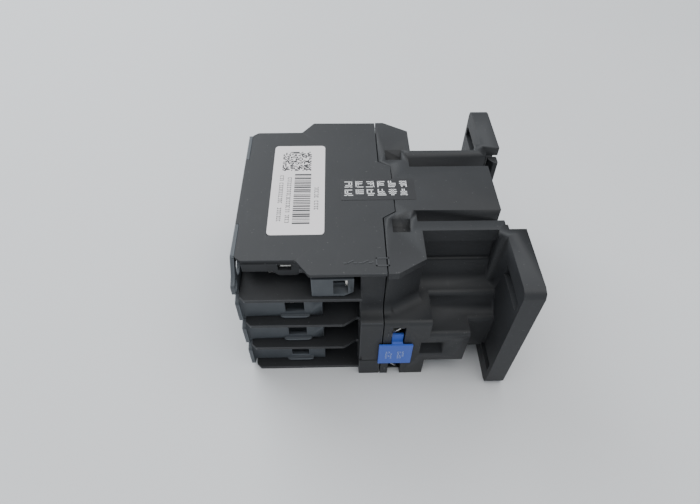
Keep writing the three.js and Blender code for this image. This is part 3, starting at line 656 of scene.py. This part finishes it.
def rectangle_with_round_corners(
    low: Sequence[float], high: Sequence[float], radius: float, steps: int = 5
) -> list[Point]:
    """The outline of a rectangle with round corners.

    Args:
        low: Its lowest corner.
        high: Its highest corner.
        radius: The corners' radius.
        steps: The straight pieces in each corner.

    Returns:
        The outline's points, anticlockwise.
    """
    points = []
    corners = [(high[0], high[1], 0), (low[0], high[1], 1), (low[0], low[1], 2), (high[0], low[1], 3)]
    for x, y, quarter in corners:
        middle_x = x - radius if x == high[0] else x + radius
        middle_y = y - radius if y == high[1] else y + radius
        for step in range(steps + 1):
            angle = (quarter + step / steps) * math.pi / 2
            points.append((middle_x + radius * math.cos(angle), middle_y + radius * math.sin(angle)))
    return points


def sheet_mesh(outline: Sequence[Point], bottom: float, top: float, edge: float) -> bmesh.types.BMesh:
    """A flat sheet with a softened upper edge.

    Args:
        outline: The outline in X and Y, anticlockwise.
        bottom: The height of its underside.
        top: The height of its face.
        edge: The rounding of its upper edge.

    Returns:
        The sheet's bmesh.
    """
    mesh = bmesh.new()
    lower = mesh.faces.new([mesh.verts.new((x, y, bottom)) for x, y in outline])
    raised = bmesh.ops.extrude_face_region(mesh, geom=[lower])["geom"]
    verts = [item for item in raised if isinstance(item, bmesh.types.BMVert)]
    bmesh.ops.translate(mesh, verts=verts, vec=(0, 0, top - bottom))
    bmesh.ops.recalc_face_normals(mesh, faces=mesh.faces)
    rim = [item for item in mesh.edges if all(abs(vert.co.z - top) < 1e-7 for vert in item.verts)]
    bmesh.ops.bevel(mesh, geom=rim, offset=edge, segments=2, profile=0.5, affect="EDGES")
    return mesh


@dataclass(frozen=True)
class PrintLine:
    """A line of stand-in print, in the plane of its strokes."""

    start: float
    foot: float
    places: int
    pitch: float
    height: float
    pen: float
    seed: int
    spaces: float = 0.12
    mark_share: float = 0.72


class Strokes:
    """Thin printed or raised marks, collected and made as one mesh."""

    def __init__(self, origin: Vector, right: Vector, up: Vector, thickness: float) -> None:
        """Sets the plane of the marks.

        Args:
            origin: The plane's zero point.
            right: The direction of the first coordinate.
            up: The direction of the second coordinate.
            thickness: How far the marks stand out of the plane.
        """
        out = right.cross(up)
        self.matrix = Matrix((
            (right.x, up.x, out.x, origin.x),
            (right.y, up.y, out.y, origin.y),
            (right.z, up.z, out.z, origin.z),
            (0, 0, 0, 1),
        ))
        self.thickness = thickness
        self.mesh = bmesh.new()

    def bar(self, low: Sequence[float], high: Sequence[float], turn: float = 0.0) -> None:
        """Adds a rectangular mark.

        Args:
            low: Its lowest corner in the plane.
            high: Its highest corner in the plane.
            turn: A turn about its middle, in radians.
        """
        middle = Vector(((low[0] + high[0]) / 2, (low[1] + high[1]) / 2, 0))
        size = (high[0] - low[0], high[1] - low[1], 2 * self.thickness)
        scale = Matrix.Diagonal((*size, 1.0))
        place = self.matrix @ Matrix.Translation(middle) @ Matrix.Rotation(turn, 4, "Z") @ scale
        bmesh.ops.create_cube(self.mesh, size=1.0, matrix=place)

    def row(self, line: "PrintLine") -> None:
        """Adds a row of dashes that stand in for a line of print, with gaps like spaces.

        Args:
            line: Where the row lies and how fine it is.
        """
        chance = random.Random(line.seed)
        foot, head = line.foot, line.foot + line.height
        for place in range(line.places):
            if chance.random() < line.spaces:
                continue
            left = line.start + place * line.pitch
            self.bar((left, foot), (left + line.pitch * line.mark_share, foot + line.pen))
            head_share = chance.uniform(0.4, line.mark_share)
            self.bar((left, head - line.pen), (left + line.pitch * head_share, head))
            across = left + line.pitch * chance.choice((0.0, 0.3, 0.5))
            self.bar((across, foot), (across + line.pen, head))

    def finish(self, name: str, material: bpy.types.Material) -> bpy.types.Object:
        """Makes the object.

        Args:
            name: The object's name.
            material: Its finish.

        Returns:
            The object.
        """
        return new_object(name, self.mesh, material)


def coil_spring(
    name: str, start: Vector, end: Vector, radius: float, wire: float, turns: float,
    material: bpy.types.Material, steps_per_turn: int = 22, sides: int = 8,
) -> bpy.types.Object:
    """A compression spring with closed end coils.

    Args:
        name: The object's name.
        start: The middle of one end.
        end: The middle of the other end.
        radius: The radius of the coil's centreline.
        wire: The wire's diameter.
        turns: The number of turns.
        material: Its finish.
        steps_per_turn: The rings in each turn.
        sides: The sides of each ring.

    Returns:
        The spring.
    """
    axis = (end - start).normalized()
    side = axis.orthogonal().normalized()
    other = axis.cross(side)
    length = (end - start).length - wire
    steps = int(turns * steps_per_turn)
    mesh = bmesh.new()
    rings = []
    for step in range(steps + 1):
        share = step / steps
        angle = 2 * math.pi * turns * share
        closed = 0.5 - 0.5 * math.cos(math.pi * share)
        along = wire / 2 + length * (0.45 * share + 0.55 * closed)
        outward = side * math.cos(angle) + other * math.sin(angle)
        middle = start + axis * along + outward * radius
        ring = []
        for corner in range(sides):
            turn = 2 * math.pi * corner / sides
            offset = outward * math.cos(turn) + axis * math.sin(turn)
            ring.append(mesh.verts.new(middle + offset * wire / 2))
        rings.append(ring)
    for first, second in zip(rings, rings[1:]):
        for corner in range(sides):
            following = (corner + 1) % sides
            mesh.faces.new((first[corner], first[following], second[following], second[corner]))
    mesh.faces.new(reversed(rings[0]))
    mesh.faces.new(rings[-1])
    bmesh.ops.recalc_face_normals(mesh, faces=mesh.faces)
    return smooth(new_object(name, mesh, material), WIRE_TURN)


# ---------------------------------------------------------------- sub-assemblies


@dataclass
class Shells:
    """The black mouldings, with the engraved symbol on the label side."""

    edge: float = 0.40 * MM
    panel_edge: float = 0.25 * MM
    symbol_start: float = 16.4 * MM
    symbol_foot: float = -31.6 * MM
    symbol_tall: float = 3.0 * MM
    symbol_pen: float = 0.38 * MM
    symbol_height: float = 0.10 * MM
    dash_heights: tuple[float, float] = (27 * MM, 4 * MM)
    dash_start: float = -2.4 * MM
    dash_pitch: float = 1.1 * MM
    dash_half: float = 1.1 * MM
    dash_pen: float = 0.4 * MM
    dash_height: float = 0.12 * MM

    def build(self, finishes: Finishes) -> None:
        """Builds and dresses the mouldings.

        Args:
            finishes: The finishes.
        """
        for node, radius, body in (
            ("base_housing", self.edge, Body.HOUSING),
            ("upper_housing", self.edge * 0.6, Body.HOUSING),
            ("front_panel", self.panel_edge, Body.HOUSING),
            ("contact_carrier", self.panel_edge, Body.CARRIER),
            ("rail_clip", self.panel_edge, Body.RAIL_CLIP),
        ):
            # Rounded edges take the lighter black, a painted highlight.
            piece = softened(node, radius, finishes.black, finishes.black_highlight_finish)
            rides(piece, body.value, "black_plastic", node)
        self.raise_symbol(finishes)
        self.raise_terminal_marks(finishes)

    def raise_symbol(self, finishes: Finishes) -> None:
        """Raises a plain contact symbol, two switch blades and a coil box, near the near end.

        Args:
            finishes: The finishes.
        """
        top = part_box("upper_housing")[1]
        origin = Vector((top.x - self.symbol_start, self.symbol_foot, top.z))
        marks = Strokes(origin, Vector((1, 0, 0)), Vector((0, 1, 0)), self.symbol_height)
        pen, tall = self.symbol_pen, self.symbol_tall
        lead_level, blade_level, blade_turn = 1.0 * MM, 1.5 * MM, 0.5
        for place in (0.0, 4.3 * MM):
            marks.bar((place, lead_level), (place + 1.2 * MM, lead_level + pen))
            marks.bar((place + 2.9 * MM, lead_level), (place + 3.9 * MM, lead_level + pen))
            marks.bar((place + 1.0 * MM, blade_level), (place + 3.0 * MM, blade_level + pen), blade_turn)
        left, right = 9.3 * MM, 13.2 * MM
        for foot in (0.0, tall - pen):
            marks.bar((left, foot), (right, foot + pen))
        for x in (left, right - pen):
            marks.bar((x, 0.0), (x + pen, tall))
        # The raised marks take the lighter black, a painted highlight.
        rides(marks.finish("contact_symbol", finishes.black_highlight_finish), Body.HOUSING.value, "black_plastic")

    def raise_terminal_marks(self, finishes: Finishes) -> None:
        """Raises one and two dashes beside the coil terminals.

        Args:
            finishes: The finishes.
        """
        low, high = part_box("upper_housing")
        origin = Vector((high.x, low.y, 0))
        marks = Strokes(origin, Vector((1, 0, 0)), Vector((0, 0, 1)), self.dash_height)
        for height, count in zip(self.dash_heights, (2, 1)):
            for index in range(count):
                left = self.dash_start + index * self.dash_pitch
                marks.bar((left, height - self.dash_half), (left + self.dash_pen, height + self.dash_half))
        # The raised dashes take the lighter black, a painted highlight.
        rides(marks.finish("coil_marks", finishes.black_highlight_finish), Body.HOUSING.value, "black_plastic")


@dataclass
class TerminalCovers:
    """The grey covers over the main and rear auxiliary terminals."""

    edge: float = 0.22 * MM

    def build(self, finishes: Finishes) -> None:
        """Builds and dresses the covers.

        Args:
            finishes: The finishes.
        """
        for end in End:
            for kind in ("terminal_cover", "aux_box"):
                node = f"{kind}_{end.name.lower()}"
                # Rounded edges take the lighter grey, a painted highlight.
                piece = softened(node, self.edge, finishes.grey, finishes.grey_highlight_finish)
                rides(piece, Body.HOUSING.value, "grey_plastic", node)


@dataclass
class Stickers:
    """The white side label and the black seal over the seam, with stand-in print."""

    margin: float = 0.45 * MM
    proud: float = 0.07 * MM
    rim: float = 0.03 * MM
    ink: float = 0.012 * MM
    label_corner: float = 1.3 * MM
    seal_corner: float = 0.4 * MM
    code_start: float = 28.2 * MM
    code_foot: float = 4.6 * MM
    code_cell: float = 0.42 * MM
    code_cells: int = 23
    bars_start: float = 4.3 * MM
    bars_end: float = 26.9 * MM
    bars_foot: float = 4.5 * MM
    bars_head: float = 9.9 * MM
    bar_widths: tuple[float, ...] = (0.22, 0.22, 0.42, 0.62)
    bar_gaps: tuple[float, ...] = (0.22, 0.34, 0.46)
    label_lines: tuple[PrintLine, ...] = (
        PrintLine(10.2 * MM, 2.0 * MM, 10, 1.05 * MM, 1.3 * MM, 0.2 * MM, 12),
        PrintLine(4.9 * MM, 10.9 * MM, 24, 0.88 * MM, 1.25 * MM, 0.2 * MM, 34),
        PrintLine(5.5 * MM, 13.5 * MM, 24, 0.86 * MM, 1.25 * MM, 0.2 * MM, 37),
    )
    glyph_feet: tuple[float, float] = (1.95 * MM, 5.75 * MM)
    glyph_pen: float = 0.36 * MM
    glyph_size: float = 2.9 * MM

    def sheet(
        self, node: str, corner: float, material: bpy.types.Material, slot: str
    ) -> tuple[Vector, Vector]:
        """Lays a sticker over the place of its CAD node.

        Args:
            node: The CAD node.
            corner: The radius of its corners.
            material: Its finish.
            slot: The record's material slot.

        Returns:
            The sticker's lowest and highest corner.
        """
        low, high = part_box(node)
        spread = Vector((self.margin, self.margin, 0))
        low, high = low - spread, high + spread
        high.z += self.proud
        outline = rectangle_with_round_corners(low, high, corner)
        piece = new_object(f"{node}_film", sheet_mesh(outline, low.z, high.z, self.rim), material)
        rides(smooth(piece), Body.HOUSING.value, slot, node)
        return low, high

    def build(self, finishes: Finishes) -> None:
        """Builds and dresses both stickers.

        Args:
            finishes: The finishes.
        """
        low, high = self.sheet("side_label", self.label_corner, finishes.label, "label_paper")
        self.print_label(low, high, finishes)
        low, high = self.sheet("seal_sticker", self.seal_corner, finishes.seal, "seal_film")
        self.print_seal(low, high, finishes)

    def print_label(self, low: Vector, high: Vector, finishes: Finishes) -> None:
        """Prints a cell block, a bar block and three lines on the label.

        Args:
            low: The label's lowest corner.
            high: The label's highest corner.
            finishes: The finishes.
        """
        origin = Vector((high.x, low.y, high.z))
        marks = Strokes(origin, Vector((0, 1, 0)), Vector((-1, 0, 0)), self.ink)
        chance = random.Random(11)
        cell = self.code_cell
        for column in range(self.code_cells):
            for line in range(self.code_cells):
                if chance.random() < 0.5:
                    left = self.code_start + column * cell
                    foot = self.code_foot + line * cell
                    marks.bar((left, foot), (left + cell, foot + cell))
        place = self.bars_start
        while place < self.bars_end:
            width = chance.choice(self.bar_widths) * MM
            marks.bar((place, self.bars_foot), (place + width, self.bars_head))
            place += width + chance.choice(self.bar_gaps) * MM
        for line in self.label_lines:
            marks.row(line)
        rides(marks.finish("label_print", finishes.ink), Body.HOUSING.value, "seal_film")

    def print_seal(self, low: Vector, high: Vector, finishes: Finishes) -> None:
        """Prints two lines of six plain blocks of strokes on the seal.

        Args:
            low: The seal's lowest corner.
            high: The seal's highest corner.
            finishes: The finishes.
        """
        origin = Vector((low.x, low.y, high.z))
        marks = Strokes(origin, Vector((1, 0, 0)), Vector((0, 1, 0)), self.ink)
        chance = random.Random(4)
        pen, size = self.glyph_pen, self.glyph_size
        for foot in self.glyph_feet:
            for index in range(6):
                left = (1.05 + 3.55 * index) * MM
                for level in chance.sample((0.0, 0.75, 1.5, 2.4), 3):
                    start = chance.uniform(0.0, 0.6) * MM
                    line = foot + level * MM
                    marks.bar((left + start, line), (left + size - start, line + pen))
                for across in chance.sample((0.2, 0.9, 1.5, 2.3), 2):
                    low_end = foot + chance.choice((0.0, 0.9)) * MM
                    marks.bar((left + across * MM, low_end), (left + across * MM + pen, foot + size))
        rides(marks.finish("seal_print", finishes.white_ink), Body.HOUSING.value, "label_paper")


@dataclass
class VoltageTag:
    """The blue tag between the two coil terminals."""

    edge: float = 0.15 * MM
    ink: float = 0.02 * MM
    block_starts: tuple[float, float] = (2.3 * MM, 6.2 * MM)

    def build(self, finishes: Finishes) -> None:
        """Builds and dresses the tag.

        Args:
            finishes: The finishes.
        """
        piece = softened("voltage_tag", self.edge, finishes.blue, finishes.blue)
        rides(piece, Body.HOUSING.value, "tag_blue", "voltage_tag")
        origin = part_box("voltage_tag")[0]
        marks = Strokes(origin, Vector((1, 0, 0)), Vector((0, 0, 1)), self.ink)
        for block, start in enumerate(self.block_starts):
            for line in range(4):
                foot = (3.6 + 1.25 * line) * MM
                marks.row(PrintLine(start, foot, 3, 0.8 * MM, 0.9 * MM, 0.17 * MM, 5 * block + line))
        rides(marks.finish("tag_dashes", finishes.blue_print), Body.HOUSING.value, "tag_blue")


@dataclass
class Conductors:
    """Terminals, bridges and every screw."""

    edge: float = 0.16 * MM

    def build(self, finishes: Finishes) -> None:
        """Builds and dresses the metal pieces.

        Args:
            finishes: The finishes.
        """
        bodies = frame["record"]["behaviour"]["bodies"]
        owners = {node: body for body, nodes in bodies.items() for node in nodes}
        for subpart in frame["record"]["subparts"]:
            node, slot = subpart["node"], subpart["material_slot"]
            if slot not in ("contact_metal", "plated_steel"):
                continue
            material = finishes.silver if slot == "contact_metal" else finishes.zinc
            piece = softened(node, self.edge, material, material)
            rides(piece, owners[node], slot, node)


@dataclass
class Magnet:
    """Cores, coil and the pieces that hold them, behind the shells."""

    def build(self, finishes: Finishes) -> None:
        """Dresses the CAD solids, whose shapes are right as they are.

        Args:
            finishes: The finishes.
        """
        for node, material in (
            ("fixed_core", finishes.laminate),
            ("armature", finishes.laminate),
            ("core_cushion", finishes.rubber),
            ("coil_bobbin", finishes.nylon),
            ("coil_winding", finishes.winding),
            ("shading_ring_near", finishes.copper),
            ("shading_ring_far", finishes.copper),
            ("armature_pin", finishes.wire),
        ):
            dress(node, material)


def dress(node: str, material: bpy.types.Material) -> None:
    """Gives a CAD node that stays in view its finish.

    Args:
        node: The CAD node.
        material: The finish.
    """
    slots = frame["nodes"][node].data.materials
    slots.clear()
    slots.append(material)
    LOG.info("%s keeps its CAD shape", node)


@dataclass
class Springs:
    """The springs, wound finely."""

    return_wire: float = 0.7 * MM
    small_wire: float = 0.5 * MM
    long_turns: float = 7
    short_turns: float = 5

    def wind(
        self, node: str, axis: int, wire: float, turns: float, body: str, finishes: Finishes
    ) -> tuple[bpy.types.Object, Vector, Vector]:
        """Winds a spring in the space of its CAD node.

        Args:
            node: The CAD node.
            axis: 0 for a spring along X, 1 for one along Y.
            wire: The wire's diameter.
            turns: The number of turns.
            body: The body that it rides on.
            finishes: The finishes.

        Returns:
            The spring and the middles of its two ends.
        """
        low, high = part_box(node)
        middle = (low + high) / 2
        start, end = middle.copy(), middle.copy()
        start[axis], end[axis] = low[axis], high[axis]
        across = min((high - low)[other] for other in range(3) if other != axis)
        radius = (across - wire) / 2
        piece = coil_spring(f"{node}_wound", start, end, radius, wire, turns, finishes.wire)
        return rides(piece, body, "spring_steel", node), start, end

    def build(self, finishes: Finishes) -> None:
        """Winds every spring.

        Args:
            finishes: The finishes.
        """
        travel = {joint["name"]: max(map(abs, joint["range_m"])) for joint in frame["joints"]}
        for node in ("return_spring_low", "return_spring_high"):
            piece, start, end = self.wind(node, 0, self.return_wire, self.long_turns, "housing", finishes)
            keep = 1 - travel["carrier_slide"] / (end - start).length
            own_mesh(piece)
        for name in ("bridge_1", "bridge_2", "bridge_3", "bridge_no"):
            node = "aux_spring_no" if name == "bridge_no" else name.replace("bridge", "contact_spring")
            wire = self.small_wire if name == "bridge_no" else self.return_wire
            piece, start, end = self.wind(node, 0, wire, self.short_turns, "carrier", finishes)
            keep = 1 - travel[f"{name}_give"] / (end - start).length
            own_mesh(piece)
        wire, turns = self.small_wire, self.long_turns
        self.wind("aux_spring_nc", 0, wire, self.short_turns, "carrier", finishes)
        piece, start, end = self.wind("rail_clip_spring", 1, wire, turns, "housing", finishes)
        keep = 1 - travel["rail_clip_slide"] / (end - start).length
        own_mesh(piece)


# ---------------------------------------------------------------- studio


@dataclass(frozen=True)
class AreaLamp:
    """A square area light that faces the relay."""

    name: str
    place: tuple[float, float, float]
    size: float
    power: float
    colour: Colour

    def hang(self, target: Vector) -> None:
        """Hangs the light.

        Args:
            target: The point that it faces.
        """
        light = bpy.data.lights.new(self.name, "AREA")
        light.size = self.size
        light.energy = self.power
        light.color = self.colour
        lamp = bpy.data.objects.new(self.name, light)
        lamp.location = self.place
        aim = target - Vector(self.place)
        lamp.rotation_euler = aim.to_track_quat("-Z", "Y").to_euler()
        bpy.context.scene.collection.objects.link(lamp)


@dataclass
class Studio:
    """Pale floor, soft lights and the camera."""

    floor_half: float = 1.5
    floor_colour: Colour = (0.70, 0.71, 0.725)
    surround: Colour = (0.90, 0.95, 1.0)
    surround_strength: float = 0.62
    target: tuple[float, float, float] = (0, 0, 0.02)
    lamps: tuple[AreaLamp, ...] = (
        AreaLamp("window", (-0.55, 0.75, 0.75), 0.9, 10.5, (0.93, 0.97, 1.0)),
        AreaLamp("ceiling", (0.15, -0.1, 1.1), 1.1, 9.0, (1.0, 0.98, 0.95)),
    )
    sensor: float = 36.0
    nearest: float = 0.01
    lens: float = 26.19
    shift: float = -0.0325
    azimuth: float = math.radians(-1.91)
    elevation: float = math.radians(48.76)
    roll: float = math.radians(0.70)
    place: tuple[float, float, float] = (-12.67 * MM, -118.61 * MM, 170.92 * MM)

    def build(self) -> None:
        """Sets up the floor, the lights and the camera."""
        self.lay_floor()
        self.hang_lights()
        self.aim_camera()

    def lay_floor(self) -> None:
        """Lays a pale floor under the relay."""
        mesh = bmesh.new()
        bmesh.ops.create_grid(mesh, x_segments=1, y_segments=1, size=self.floor_half)
        floor = new_object("floor", mesh, Paper("floor_paper", self.floor_colour).material())

    def hang_lights(self) -> None:
        """Hangs soft area lights and sets an even surround."""
        world = bpy.data.worlds.new("studio")
        world.use_nodes = True
        background = world.node_tree.nodes["Background"]
        background.inputs["Color"].default_value = opaque(self.surround)
        background.inputs["Strength"].default_value = self.surround_strength
        bpy.context.scene.world = world
        for lamp in self.lamps:
            lamp.hang(Vector(self.target))

    def aim_camera(self) -> None:
        """Places the camera and makes it the scene's own."""
        data = bpy.data.cameras.new("camera")
        data.sensor_width = self.sensor
        data.lens = self.lens
        data.shift_y = self.shift
        data.clip_start = self.nearest
        level = math.cos(self.elevation)
        height = math.sin(self.elevation)
        back = Vector((math.sin(self.azimuth) * level, -math.cos(self.azimuth) * level, height))
        right = Vector((0, 0, 1)).cross(back).normalized()
        up = back.cross(right)
        turned_right = right * math.cos(self.roll) + up * math.sin(self.roll)
        turned_up = up * math.cos(self.roll) - right * math.sin(self.roll)
        axes = Matrix((turned_right, turned_up, back)).transposed().to_4x4()
        camera = bpy.data.objects.new("camera", data)
        camera.matrix_world = Matrix.Translation(self.place) @ axes
        bpy.context.scene.collection.objects.link(camera)
        bpy.context.scene.camera = camera


def main() -> None:
    """Builds the relay's looks, piece by piece."""
    logging.basicConfig(level=logging.INFO, format="%(name)s: %(message)s")
    Studio().build()
    finishes = Finishes()
    parts: Iterable[Any] = (
        Shells(), TerminalCovers(), Stickers(), VoltageTag(), Conductors(), Magnet(), Springs(),
    )
    for part in parts:
        LOG.info("building %s", type(part).__name__)
        part.build(finishes)


if __name__ == "__main__":
    main()
